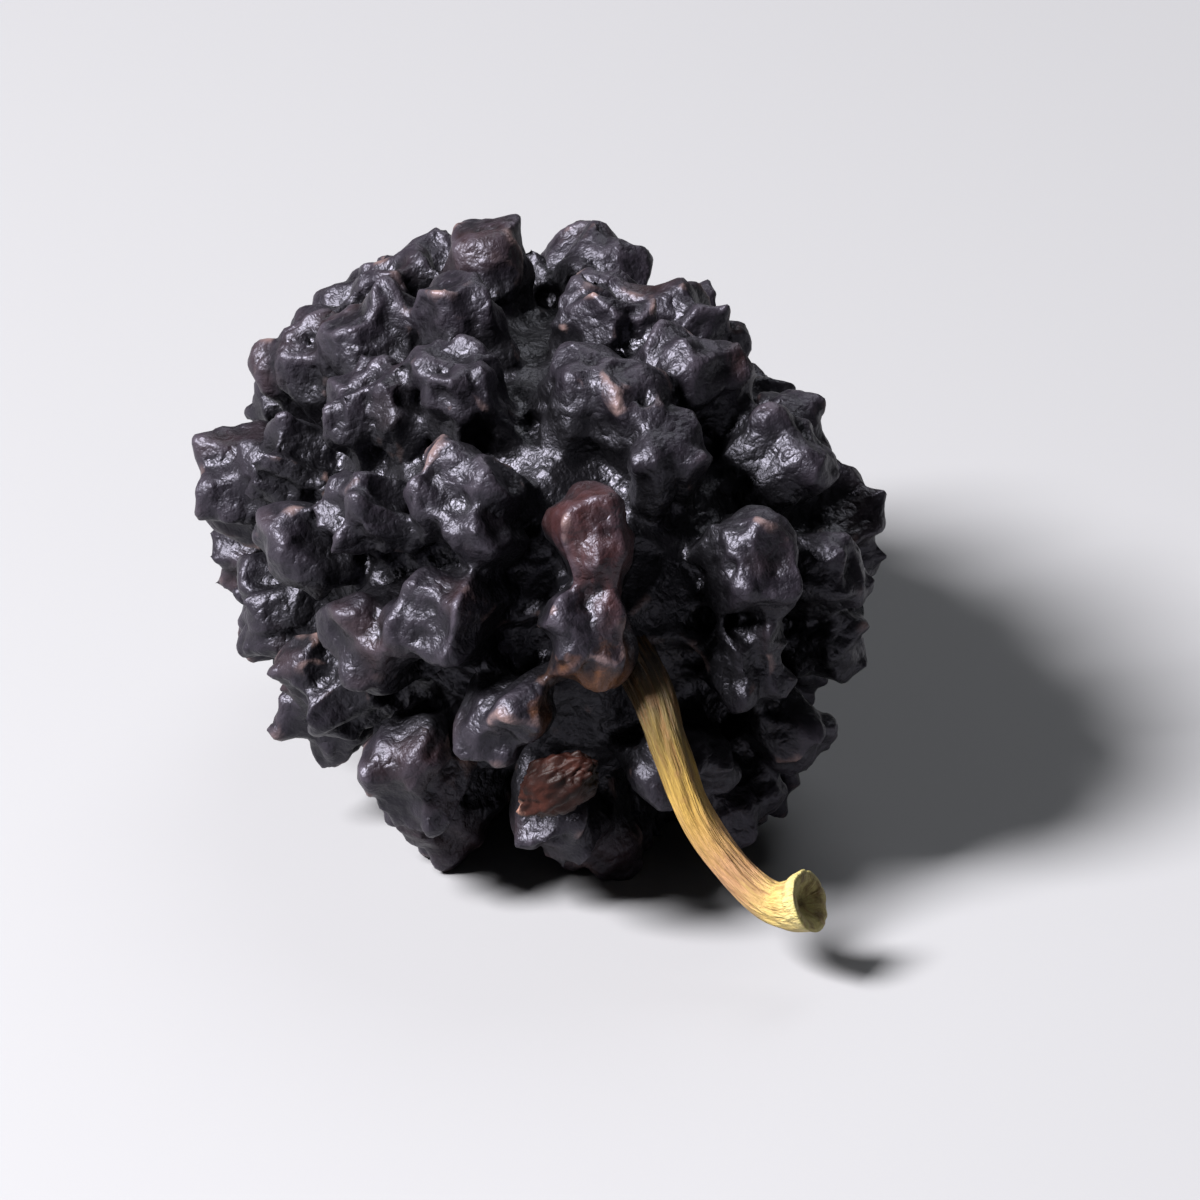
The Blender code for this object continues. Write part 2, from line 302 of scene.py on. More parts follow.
# The seed's coat
SEED_MOTTLE = (1.3, 4.0, 0.6)
SEED_STOPS = (
    (0.32, (0.003, 0.001, 0.0007)),
    (0.50, (0.012, 0.0028, 0.0017)),
    (0.72, (0.034, 0.0085, 0.005)),
)
TIP_SWING = (-0.15, 0.15)
TIP_SPAN = (0.80, 0.97)
TIP_PINK = (0.24, 0.13, 0.10)
SEED_ROUGHNESS = (0.46, 0.60)
SEED_SPECULAR = 0.14
SEED_GRAIN = (5.0, 3.0, 0.55)
SEED_BUMP = 0.03 * MM

# The studio: the floor, the even surround, and each light's name, angles in degrees round from the camera
# and above the surface, distance and size in metres, power in watts and colour
FLOOR_HALF_SIZE = 1.5
FLOOR_GREY = (0.26, 0.26, 0.268)
FLOOR_ROUGHNESS = 0.7
FLOOR_SPECULAR = 0.2
SURROUND_COLOUR = (0.93, 0.95, 1.0)
SURROUND_STRENGTH = 0.03
LIGHT_TARGET = Vector((0.0, 0.0, FRUIT_CENTRE.z))
LIGHTS = (
    ("key", -66.0, 46.0, 0.30, 0.10, 3.8, (1.0, 0.985, 1.0)),
    ("fill", 50.0, 25.0, 0.40, 0.30, 0.015, (0.93, 0.95, 1.0)),
    ("back", 165.0, 50.0, 0.45, 0.30, 0.7, (0.95, 0.97, 1.0)),
)

# The camera, with its angles in degrees round the object and above the surface
CAMERA_AZIMUTH = 72.0
CAMERA_ELEVATION = 27.0
CAMERA_DISTANCE = 0.32
CAMERA_LENS = 430.0
CAMERA_TARGET = Vector((1.2 * MM, 0.9 * MM, 5.2 * MM))
CAMERA_NEAREST = 0.01
CAMERA_FARTHEST = 5.0


def clamp(value, lowest, highest):
    """The value, kept between two limits."""
    return max(lowest, min(highest, value))


def body_radius(along):
    """Share of the widest radius that the fruit has at a place from -1, its tip, to 1, its stalk end."""
    round_ends = max(0.0, 1.0 - abs(along) ** BODY_POWER) ** 0.5
    return round_ends * (1.0 + END_TAPER * along)


def body_point(along, angle):
    """A point of the surface through the drupelets' middles, from the fruit's centre."""
    half_length = FRUIT_LENGTH / 2.0 - DRUPELET_HEIGHT
    half_width = FRUIT_WIDTH / 2.0 - DRUPELET_HEIGHT
    half_height = FRUIT_HEIGHT / 2.0 - DRUPELET_HEIGHT
    radius = body_radius(along)
    x = along * half_length
    y = radius * half_width * math.cos(angle) + BEND * (along * along - BEND_LEVEL)
    z = radius * half_height * math.sin(angle)
    return Vector((x, y, z))


def body_frame(along, angle):
    """Towards-the-tip, sideways and outward directions at a point of that surface, as a matrix's columns."""
    inner = clamp(along, -LAST_PLACE, LAST_PLACE)
    towards_tip = body_point(max(inner - FRAME_STEP, -1.0), angle)
    towards_stalk = body_point(min(inner + FRAME_STEP, 1.0), angle)
    lengthways = towards_tip - towards_stalk
    sideways = body_point(inner, angle + FRAME_STEP) - body_point(inner, angle - FRAME_STEP)
    outward = sideways.cross(lengthways).normalized()
    if outward.dot(body_point(inner, angle)) < 0.0:
        outward.negate()
    lean = TIP_LEAN * (1.0 - abs(along)) * Vector((1.0, 0.0, 0.0))
    outward = (outward - lean).normalized()
    lengthways = (lengthways - outward * lengthways.dot(outward)).normalized()
    return Matrix((lengthways, outward.cross(lengthways), outward)).transposed()


def even_places(count):
    """Places along the fruit that share out its surface evenly, from the stalk end to the tip."""
    along = np.linspace(1.0, -1.0, PLACE_SAMPLES)
    points = [(value * FRUIT_LENGTH / 2.0, body_radius(value) * FRUIT_WIDTH / 2.0) for value in along]
    area = [0.0]
    for (x0, r0), (x1, r1) in zip(points, points[1:]):
        area.append(area[-1] + (r0 + r1) * math.hypot(x1 - x0, r1 - r0))
    wanted = (np.arange(count) + SPIRAL_SKIP) / (count + SPIRAL_SKIP) * area[-1]
    return np.interp(wanted, area, along)


def drupelet_layout():
    """Every drupelet's centre, frame, half sizes, shrunken share and phase, drawn from one seed."""
    draw = random.Random(SEED_OF_DRAW)
    layout = []
    for index, place in enumerate(even_places(DRUPELET_COUNT)):
        along = clamp(float(place) + draw.uniform(*ALONG_RANGE), -LAST_PLACE, STALK_GAP)
        angle = index * GOLDEN_ANGLE + draw.uniform(*ANGLE_RANGE)
        shrunk = draw.random()
        size = draw.uniform(*SIZE_RANGE)
        stretch = draw.uniform(*STRETCH_RANGE)
        turn = draw.uniform(*TURN_RANGE)
        lift = draw.uniform(*LIFT_RANGE)
        phase = draw.uniform(*PHASE_RANGE)
        axes = body_frame(along, angle)
        centre = body_point(along, angle) + axes.col[2] * lift
        half_width = size * DRUPELET_HALF_WIDTH
        half = Vector((half_width * stretch, half_width / stretch, size * DRUPELET_HEIGHT))
        layout.append((centre, axes @ Matrix.Rotation(turn, 3, "Z"), half, shrunk, phase))
    return layout


def noise_at(points, scale, offset):
    """Smooth noise from -1 to 1 at each point, moved to another place of the noise by the offset."""
    shift = Vector([offset * share for share in NOISE_SHIFT])
    return np.array([noise.noise(Vector(point) * scale + shift) for point in points])


def ridges(values, width):
    """Crests along the zeros of a noise: 1 on the crest, falling off over the width."""
    return np.exp(-np.abs(values) / width)


def sphere_grid(segments, rings):
    """Points of a unit sphere and its faces."""
    shape = bmesh.new()
    bmesh.ops.create_uvsphere(shape, u_segments=segments, v_segments=rings, radius=1.0)
    points = np.array([vertex.co[:] for vertex in shape.verts])
    faces = [[vertex.index for vertex in face.verts] for face in shape.faces]
    shape.free()
    return points, faces


def tepal_angles(unit, phase, index):
    """Angles round a drupelet, from its tip, and round it again with the tepals bent as this one's are."""
    draw = random.Random(TEPAL_DRAW + index)
    azimuth = np.arctan2(unit[:, 1], unit[:, 0])
    longer = 1.0 + draw.uniform(*LONGER_RANGE) * np.cos(2.0 * (azimuth - phase))
    polar = np.arccos(np.clip(unit[:, 2], -1.0, 1.0)) * longer
    swirl = draw.uniform(*SWIRL_RANGE)
    sway = draw.uniform(*SWAY_RANGE)
    around = azimuth + swirl * (polar - SWIRL_CENTRE) + sway * np.sin(azimuth + phase)
    return azimuth, polar, around


def shrivelled(unit, shrunk, phase, index):
    """Radius change of one drupelet's shrivelled crests."""
    turned = unit @ np.array(Matrix.Rotation(phase, 3, "Z"))
    streaked = turned * np.array(CREST_STRETCH)
    crests = ridges(noise_at(streaked, 1.0, CREST_SHIFT * index), CREST_WIDTH) - CREST_MEAN
    return (SHRIVEL_LEAST + SHRIVEL_GROWTH * shrunk) * crests


def tepal_relief(unit, shrunk, phase, index):
    """Radius factor over one drupelet: dried tepals round a pit, creased apart, grooved and shrivelled."""
    azimuth, polar, around = tepal_angles(unit, phase, index)
    reach = np.sin(np.clip(polar * CREASE_REACH, 0.0, math.pi / 2.0))
    lobe = np.abs(np.sin(TEPALS / 2.0 * around))
    crease = (CREASE_LEAST + CREASE_GROWTH * shrunk) * (1.0 - lobe**CREASE_SHARPNESS) * reach
    pit_angle = PIT_ANGLE + PIT_SPREAD * shrunk
    pit = (PIT_LEAST + PIT_GROWTH * shrunk) * np.exp(-((polar / pit_angle) ** PIT_STEEPNESS))
    uneven = UNEVEN_ONCE * np.cos(azimuth + 2.0 * phase)
    uneven = uneven + UNEVEN_TWICE * np.cos(2.0 * azimuth + 3.0 * phase)
    band = np.sin(np.clip((polar - GROOVE_START) * GROOVE_REACH, 0.0, math.pi))
    ditch = np.exp(-(((1.0 - lobe) / GROOVE_WIDTH) ** 2))
    groove = (GROOVE_LEAST + GROOVE_GROWTH * shrunk) * ditch * band
    waist = WAIST_DEPTH * np.clip((polar - WAIST_START) / WAIST_SPAN, 0.0, 1.0)
    shrivel = shrivelled(unit, shrunk, phase, index)
    lumps = LUMP_HEIGHT * noise_at(unit, LUMP_SCALE, LUMP_SHIFT * index)
    return 1.0 - crease - groove - pit - waist + uneven * reach + shrivel + lumps


def drupelet_points(unit, drupelet, index):
    """One drupelet's points in world space."""
    centre, axes, half, shrunk, phase = drupelet
    local = unit * tepal_relief(unit, shrunk, phase, index)[:, None] * np.array(half)
    return local @ np.array(axes).T + np.array(FRUIT_CENTRE + centre)


def middle_points(unit):
    """The fruit's middle, which the drupelets stand out of."""
    points = []
    for x, y, z in unit:
        points.append(FRUIT_CENTRE + body_point(clamp(z, -1.0, 1.0), math.atan2(y, x)) * MIDDLE_GROWTH)
    return np.array(points)


def mesh_from(name, points, faces):
    """A mesh from arrays of points and faces."""
    mesh = bpy.data.meshes.new(name)
    mesh.from_pydata(points.tolist(), [], faces)
    mesh.update()
    return mesh


def add_object(name, data):
    """Links a mesh, light or camera to the scene as a named object."""
    made = bpy.data.objects.new(name, data)
    bpy.context.scene.collection.objects.link(made)
    return made


def dress(piece, node, finish):
    """Makes a piece stand for a node, on the fruit's one body, with its material."""
    piece.data.materials.clear()
    piece.data.materials.append(finish)
    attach(piece, "root")
    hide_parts(node)


def evaluated(source):
    """The object's mesh with its modifiers applied; the object is removed."""
    bpy.context.view_layer.update()
    graph = bpy.context.evaluated_depsgraph_get()
    mesh = bpy.data.meshes.new_from_object(source.evaluated_get(graph))
    bpy.data.objects.remove(source)
    return mesh


def points_of(mesh):
    """The mesh's points as an array."""
    flat = np.empty(len(mesh.vertices) * 3)
    mesh.vertices.foreach_get("co", flat)
    return flat.reshape(-1, 3)


def normals_of(mesh):
    """The mesh's point normals as an array."""
    flat = np.empty(len(mesh.vertices) * 3)
    mesh.vertex_normals.foreach_get("vector", flat)
    return flat.reshape(-1, 3)


def edges_of(mesh):
    """The mesh's edges as pairs of point indices."""
    flat = np.empty(len(mesh.edges) * 2, dtype=np.int64)
    mesh.edges.foreach_get("vertices", flat)
    return flat.reshape(-1, 2)


def move_points(mesh, points):
    """Puts the mesh's points where the array says."""
    mesh.vertices.foreach_set("co", points.ravel())
    mesh.update()


def set_down(mesh, points):
    """Puts the mesh's points where the array says, but none of them below the surface that it rests on."""
    points[:, 2] = np.maximum(points[:, 2], 0.0)
    move_points(mesh, points)


def smoothed(values, edges, rounds):
    """Values drawn towards the mean of their neighbours along the mesh's edges."""
    count = np.bincount(edges.ravel(), minlength=len(values))[:, None]
    for _ in range(rounds):
        total = np.zeros_like(values)
        for column in range(values.shape[1]):
            total[:, column] += np.bincount(edges[:, 0], values[edges[:, 1], column], len(values))
            total[:, column] += np.bincount(edges[:, 1], values[edges[:, 0], column], len(values))
        values = values + SMOOTH_SHARE * (total / count - values)
    return values


def write_attribute(mesh, name, values):
    """Keeps one number a point in the mesh, for its material."""
    layer = mesh.attributes.new(name, "FLOAT", "POINT")
    layer.data.foreach_set("value", values.astype(np.float32))


def peaks_rounded(mesh, points, edges, rounds):
    """Points with the sharp peaks drawn in and the hollows left as they are."""
    move_points(mesh, points)
    drawn = smoothed(points, edges, rounds) - points
    reach = np.linalg.norm(drawn, axis=1) + NEARLY_NOTHING
    inward = -(drawn * normals_of(mesh)).sum(1) / reach
    return points + drawn * (PEAK_SHARE * np.clip(inward, 0.0, 1.0))[:, None]


def level_of(points):
    """How far out each point lies: 1 on the surface through the drupelets' middles, more at their tips."""
    local = points - np.array(FRUIT_CENTRE)
    along = local[:, 0] / (FRUIT_LENGTH / 2.0 - DRUPELET_HEIGHT)
    sideways = (local[:, 1] - BEND * (along**2 - BEND_LEVEL)) / (FRUIT_WIDTH / 2.0 - DRUPELET_HEIGHT)
    upward = local[:, 2] / (FRUIT_HEIGHT / 2.0 - DRUPELET_HEIGHT)
    across = np.hypot(sideways, upward) / (1.0 + END_TAPER * along)
    return np.abs(along) ** BODY_POWER + across**2


def joined_fruit():
    """All drupelets and the middle as one mesh of overlapping closed shapes."""
    unit, faces = sphere_grid(DRUPELET_SEGMENTS, DRUPELET_RINGS)
    shapes = [drupelet_points(unit, drupelet, index) for index, drupelet in enumerate(drupelet_layout())]
    shapes.append(middle_points(unit))
    every_face = []
    for number in range(len(shapes)):
        first = number * len(unit)
        every_face += [[corner + first for corner in face] for face in faces]
    return mesh_from("fruit_joined", np.concatenate(shapes), every_face)


def remeshed(mesh):
    """One skin round the overlapping shapes, of even small faces."""
    holder = add_object("remesh_holder", mesh)
    modifier = holder.modifiers.new("remesh", "REMESH")
    modifier.mode = "VOXEL"
    modifier.voxel_size = VOXEL
    return evaluated(holder)


def shell_from(first):
    """The first point and every point that is joined to it by edges, each of them tagged."""
    first.tag = True
    shell = [first]
    for vertex in shell:
        for edge in vertex.link_edges:
            other = edge.other_vert(vertex)
            if not other.tag:
                other.tag = True
                shell.append(other)
    return shell


def drop_specks(mesh):
    """Takes away the loose specks that the remeshing leaves beside the one skin."""
    shape = bmesh.new()
    shape.from_mesh(mesh)
    shells = [shell_from(vertex) for vertex in shape.verts if not vertex.tag]
    shells.sort(key=len)
    specks = [vertex for shell in shells[:-1] for vertex in shell]
    bmesh.ops.delete(shape, geom=specks, context="VERTS")
    shape.to_mesh(mesh)
    shape.free()


def wrinkle_height(points):
    """How far the dried skin stands out or in at each point, in mm: looped ridges and smaller folds."""
    spots = points / MM
    drift = [noise_at(spots, DRIFT_SCALE, DRIFT_SHIFT * (axis + 1)) for axis in range(3)]
    warped = spots + DRIFT_REACH * np.stack(drift, axis=1)
    height = np.zeros(len(spots))
    for most, scale, shift, width in WRINKLE_RIDGES:
        height += most * ridges(noise_at(warped, scale, shift), width)
    for most, scale, shift in WRINKLE_FOLDS:
        height += most * np.abs(noise_at(warped, scale, shift))
    return height - WRINKLE_MEAN


def seed_frame():
    """The seed's centre and axes."""
    axes = body_frame(SEED_ALONG, SEED_ANGLE)
    centre = body_point(SEED_ALONG, SEED_ANGLE) + axes.col[2] * (DRUPELET_HEIGHT - SEED_DEPTH)
    return FRUIT_CENTRE + centre, axes @ Matrix.Rotation(SEED_TURN, 3, "Z")


def clear_of_seed(points):
    """Points moved out of the seed's pocket to its wall."""
    centre, axes = seed_frame()
    half = np.array(SEED_HALF_SIZE) + SEED_GAP
    local = (points - np.array(centre)) @ np.array(axes) / half
    reach = np.linalg.norm(local, axis=1)
    inside = reach < 1.0
    local[inside] /= np.maximum(reach[inside], SEED_CORE)[:, None]
    moved = points.copy()
    moved[inside] = (local[inside] * half) @ np.array(axes).T + np.array(centre)
    return moved


def nearest_drupelet(points):
    """Index of the drupelet whose middle is nearest to each point."""
    middles = np.array([FRUIT_CENTRE + drupelet[0] for drupelet in drupelet_layout()])
    nearest = np.zeros(len(points), dtype=np.int64)
    for start in range(0, len(points), BATCH):
        part = points[start : start + BATCH]
        gaps = ((part[:, None, :] - middles[None, :, :]) ** 2).sum(2)
        nearest[start : start + BATCH] = gaps.argmin(1)
    return nearest


def near_spot(points, spot):
    """1 at a spot on the fruit, falling to 0 at its reach."""
    place, reach = spot
    gaps = np.linalg.norm(points - np.array(FRUIT_CENTRE + Vector(place) * MM), axis=1)
    return np.clip(1.0 - gaps / (reach * MM), 0.0, 1.0)


def maroon_shares(points, edges):
    """How maroon each point is: a few drupelets that didn't ripen through, and the one above the stalk."""
    draw = random.Random(TINT_DRAW)
    tinted = np.array([float(draw.random() < MAROON_CHANCE) for _ in range(DRUPELET_COUNT)])
    shares = smoothed(tinted[nearest_drupelet(points)][:, None], edges, TINT_BLUR)[:, 0]
    return np.maximum(MAROON_STRENGTH * shares, near_spot(points, MAROON_SPOT))


def write_skin_numbers(mesh, points, edges):
    """Keeps what the skin's material needs: how folded, hollow, far out and tinted each point is."""
    near = smoothed(points, edges, NEAR_ROUNDS)
    wide = smoothed(near, edges, WIDE_ROUNDS)
    normals = normals_of(mesh)
    write_attribute(mesh, "fold", ((near - points) * normals).sum(1) / MM)
    write_attribute(mesh, "hollow", ((wide - points) * normals).sum(1) / MM)
    write_attribute(mesh, "level", level_of(points))
    write_attribute(mesh, "maroon", maroon_shares(points, edges))
    write_attribute(mesh, "amber", near_spot(points, AMBER_SPOT))


def fruit_mesh():
    """The fruit's wrinkled skin as one closed mesh, flat where it rests, with numbers for its material."""
    mesh = remeshed(joined_fruit())
    drop_specks(mesh)
    edges = edges_of(mesh)
    points = smoothed(points_of(mesh), edges, FIRST_ROUNDS)
    for rounds in PEAK_ROUNDS:
        points = peaks_rounded(mesh, points, edges, rounds)
    move_points(mesh, points)
    points = points + normals_of(mesh) * (wrinkle_height(points) * MM)[:, None]
    points = peaks_rounded(mesh, smoothed(points, edges, LAST_ROUNDS), edges, LAST_PEAK_ROUNDS)
    points = clear_of_seed(points)
    set_down(mesh, points)
    write_skin_numbers(mesh, points, edges)
    return mesh


def make_fruit():
    """The fruit's skin, thinned to no more than MOST_TRIANGLES triangles."""
    holder = add_object("fruit_holder", fruit_mesh())
    triangles = sum(len(face.vertices) - 2 for face in holder.data.polygons)
    thin = holder.modifiers.new("thin", "DECIMATE")
    thin.ratio = min(1.0, MOST_TRIANGLES / triangles)
    mesh = evaluated(holder)
    set_down(mesh, points_of(mesh))
    mesh.shade_smooth()
    mesh.name = "fruit_skin"
    dress(add_object("fruit_skin", mesh), "fruit", skin_material())


def between(before, start, stop, after, t):
    """A point of the Catmull-Rom curve at a share of the way from start to stop."""
    slope = stop - before
    curve = 2 * before - 5 * start + 4 * stop - after
    twist = 3 * start - before - 3 * stop + after
    return 0.5 * (2 * start + slope * t + curve * t**2 + twist * t**3)


def smooth_path(points, steps):
    """A smooth path through points of any dimension, with steps between each two."""
    ends = np.vstack((2 * points[0] - points[1], points, 2 * points[-1] - points[-2]))
    path = []
    for before, start, stop, after in zip(ends, ends[1:], ends[2:], ends[3:]):
        path += [between(before, start, stop, after, step / steps) for step in range(steps)]
    path.append(points[-1])
    return np.array(path)


def stalk_rings():
    """Centres, directions and radii of the stalk's rings, in metres."""
    given = np.array([(*place, share) for place, share in STALK_POINTS])
    path = smooth_path(given, STALK_STEPS)
    centres = path[:, :3] * MM + np.array(FRUIT_CENTRE)
    directions = np.gradient(centres, axis=0)
    directions /= np.linalg.norm(directions, axis=1)[:, None]
    return centres, directions, path[:, 3] * STALK_RADIUS


def stalk_growth(spot, share):
    """Radius factor of the stalk: dried furrows along it and a lumpy rim at its free end."""
    furrow = abs(noise.noise(spot * FURROW_SCALE)) * FURROW_HEIGHT
    knob = noise.noise(spot * KNOB_SCALE + KNOB_PLACE) * KNOB_HEIGHT
    rim = max(0.0, (share - RIM_START) / RIM_SPAN) * noise.noise(spot * RIM_SCALE + RIM_PLACE) * RIM_HEIGHT
    return min(STALK_MOST, STALK_LEAST + STALK_GAIN * share + furrow + knob + rim)


def stalk_surface():
    """The stalk's points, with each one's share of the way along it and its place on a straightened stalk."""
    centres, directions, radii = stalk_rings()
    last = len(centres) - 1
    rows = [(ring, 1.0, 0.0) for ring in range(len(centres))]
    rows += [(last, narrowing, depth) for narrowing, depth in SCAR_PROFILE]
    points, shares, rolled = [], [], []
    side = np.array((0.0, 0.0, 1.0))
    for row, (ring, narrowing, depth) in enumerate(rows):
        direction = directions[ring]
        side = side - direction * side.dot(direction)
        side /= np.linalg.norm(side)
        other = np.cross(direction, side)
        centre = centres[ring] - direction * depth * SCAR_DEPTH
        for corner in range(STALK_SIDES):
            angle = 2.0 * math.pi * corner / STALK_SIDES
            spot = Vector((math.cos(angle), math.sin(angle), ring * STALK_NOISE_STEP))
            radius = radii[ring] * narrowing * stalk_growth(spot, ring / last)
            points.append(centre + radius * (math.cos(angle) * side + math.sin(angle) * other))
            shares.append(row / last)
            rolled.append(spot)
    return np.array(points), np.array(shares), np.array(rolled, dtype=np.float32)


def tube_faces(rows, sides):
    """Faces of a tube of rings, closed at both ends."""
    faces = []
    for row in range(rows - 1):
        low = row * sides
        high = low + sides
        for corner in range(sides):
            after = (corner + 1) % sides
            faces.append([low + corner, low + after, high + after, high + corner])
    faces.append(list(range(sides))[::-1])
    faces.append([(rows - 1) * sides + corner for corner in range(sides)])
    return faces


def make_stalk():
    """The stalk: a furrowed rod with a cup-shaped scar at its free end."""
    points, shares, rolled = stalk_surface()
    mesh = mesh_from("stalk_straw", points, tube_faces(len(points) // STALK_SIDES, STALK_SIDES))
    write_attribute(mesh, "share", shares)
    layer = mesh.attributes.new("rolled", "FLOAT_VECTOR", "POINT")
    layer.data.foreach_set("vector", rolled.ravel())
    mesh.shade_smooth()
    dress(add_object("stalk_straw", mesh), "stalk", stalk_material())


def seed_noise(local, kind):
    """Noise over the seed, stretched along it."""
    stretch, scale, shift = kind
    return noise_at(local * np.array(stretch), scale, shift)


def make_seed():
    """The seed: flattened, angular and wrinkled, with a point at the end towards the fruit's tip."""
    unit, faces = sphere_grid(SEED_SEGMENTS, SEED_RINGS)
    x, y, z = unit[:, 2], unit[:, 0], unit[:, 1]
    narrowing = 1.0 - SEED_POINT * np.maximum(0.0, x) ** SEED_POINT_POWER
    local = np.stack((x, y * narrowing, z * narrowing), axis=1)
    keel = KEEL_HEIGHT * np.exp(-((y / KEEL_WIDTH) ** 2)) * np.maximum(0.0, z)
    folds = SEED_FOLD_HEIGHT * np.abs(seed_noise(local, SEED_FOLDS))
    dents = SEED_DENT_DEPTH * (SEED_DENT_MEAN + seed_noise(local, SEED_DENTS))
    wrinkles = SEED_WRINKLE_HEIGHT * np.abs(seed_noise(local, SEED_WRINKLES))
    growth = np.minimum(SEED_LEAST + keel + folds - dents + wrinkles, 1.0)
    centre, axes = seed_frame()
    scaled = local * growth[:, None] * np.array(SEED_HALF_SIZE)
    mesh = mesh_from("seed_coat", scaled @ np.array(axes).T + np.array(centre), faces)
    write_attribute(mesh, "tip", x)
    mesh.shade_smooth()
    dress(add_object("seed_coat", mesh), "seed", seed_material())


class Finish:
    """A material's node tree, with short ways to add to it."""

    def __init__(self, name):
        self.material = bpy.data.materials.new(name)
        self.material.use_nodes = True
        self.nodes = self.material.node_tree.nodes
        self.links = self.material.node_tree.links
        self.shader = self.nodes["Principled BSDF"]
        self.place = self.nodes.new("ShaderNodeTexCoord").outputs["Object"]

    def feed(self, node, socket, value):
        """Gives a node's input a number, a colour or another node's output."""
        if isinstance(value, float):
            node.inputs[socket].default_value = value
        elif isinstance(value, tuple):
            node.inputs[socket].default_value = (*value, 1.0)
        else:
            self.links.new(value, node.inputs[socket])

    def shade(self, socket, value):
        """Gives the shader's input a number, a colour or a node's output."""
        self.feed(self.shader, socket, value)

    def attribute(self, name, output="Fac"):
        """What the mesh keeps under a name."""
        node = self.nodes.new("ShaderNodeAttribute")
        node.attribute_name = name
        return node.outputs[output]

    def stretched(self, place, stretch):
        """A place with each of its directions stretched."""
        node = self.nodes.new("ShaderNodeVectorMath")
        node.operation = "MULTIPLY"
        node.inputs[1].default_value = stretch
        self.links.new(place, node.inputs[0])
        return node.outputs["Vector"]

    def noise(self, per_mm, detail, roughness, place=None):
        """Noise from 0 to 1 in the object's space, or at another place."""
        node = self.nodes.new("ShaderNodeTexNoise")
        node.inputs["Scale"].default_value = per_mm / MM
        node.inputs["Detail"].default_value = detail
        node.inputs["Roughness"].default_value = roughness
        self.links.new(place or self.place, node.inputs["Vector"])
        return node.outputs["Fac"]

    def span(self, value, given, wanted=(0.0, 1.0)):
        """A value moved from one span to another, and kept inside it."""
        node = self.nodes.new("ShaderNodeMapRange")
        for socket, end in zip(("From Min", "From Max", "To Min", "To Max"), (*given, *wanted)):
            node.inputs[socket].default_value = end
        self.feed(node, "Value", value)
        return node.outputs["Result"]

    def ramp(self, value, stops):
        """A colour between those of the stops."""
        node = self.nodes.new("ShaderNodeValToRGB")
        ramp = node.color_ramp
        while len(ramp.elements) < len(stops):
            ramp.elements.new(RAMP_MIDDLE)
        for element, (position, colour) in zip(ramp.elements, stops):
            element.position = position
            element.color = (*colour, 1.0)
        self.feed(node, "Fac", value)
        return node.outputs["Color"]

    def mix(self, share, first, second):
        """A colour at a share of the way from the first to the second."""
        node = self.nodes.new("ShaderNodeMix")
        node.data_type = "RGBA"
        self.feed(node, MIX_SHARE, share)
        self.feed(node, MIX_FIRST, first)
        self.feed(node, MIX_SECOND, second)
        return node.outputs[MIX_RESULT]

    def combine(self, operation, first, second):
        """Two values put together by one of the math node's operations."""
        node = self.nodes.new("ShaderNodeMath")
        node.operation = operation
        self.feed(node, 0, first)
        self.feed(node, 1, second)
        return node.outputs["Value"]

    def plus(self, first, second):
        """The sum of two values."""
        return self.combine("ADD", first, second)

    def times(self, first, second):
        """The product of two values."""
        return self.combine("MULTIPLY", first, second)

    def bump(self, height, depth):
        """Relief from a height, without moving the mesh."""
        node = self.nodes.new("ShaderNodeBump")
        node.inputs["Distance"].default_value = depth
        self.feed(node, "Height", height)
        self.shade("Normal", node.outputs["Normal"])


def tinted_skin(finish):
    """The skin's black, with maroon drupelets and amber tissue where the mesh says."""
    blotch = finish.span(finish.noise(*TINT_BLOTCHES), NOISE_MIDDLE, TINT_SWING)
    colour = finish.ramp(finish.noise(*SKIN_PATCHES), SKIN_STOPS)
    maroon = finish.span(finish.plus(finish.attribute("maroon"), blotch), MAROON_SPAN)
    colour = finish.mix(maroon, colour, MAROON)
    amber = finish.span(finish.plus(finish.attribute("amber"), blotch), AMBER_SPAN)
    return finish.mix(amber, colour, AMBER)


def skin_colour(finish, fold, hollow):
    """The tinted skin, with painted shade blackening the folds and gaps, a grey bloom with painted highlight
    on the outer crests, and a few tan crests.
    """
    level = finish.attribute("level")
    # Painted shade: black mixed in where the skin folds in, lies hollow and lies deep between drupelets
    colour = finish.mix(finish.span(fold, PAINTED_FOLD_SHADE_SPAN), tinted_skin(finish), PAINTED_FOLD_SHADE)
    colour = finish.mix(finish.span(hollow, PAINTED_HOLLOW_SHADE_SPAN), colour, PAINTED_GAP_SHADE)
    colour = finish.mix(finish.span(level, PAINTED_GAP_SHADE_SPAN), colour, PAINTED_GAP_SHADE)
    # Grey bloom and painted highlight together, lightening the convex crests on the drupelets' outer parts
    bloom_and_highlight = finish.times(finish.span(fold, BLOOM_AND_HIGHLIGHT_FOLD), finish.span(level, BLOOM_AND_HIGHLIGHT_LEVEL))
    patches = finish.span(finish.noise(*BLOOM_AND_HIGHLIGHT_PATCHES), BLOOM_AND_HIGHLIGHT_SPAN, BLOOM_AND_HIGHLIGHT_STRENGTH)
    colour = finish.mix(finish.times(bloom_and_highlight, patches), colour, BLOOM_AND_HIGHLIGHT)
    worn = finish.span(finish.noise(*WORN_PATCHES), WORN_SPAN)
    return finish.mix(finish.times(finish.span(fold, WORN_FOLD), worn), colour, WORN_TAN)


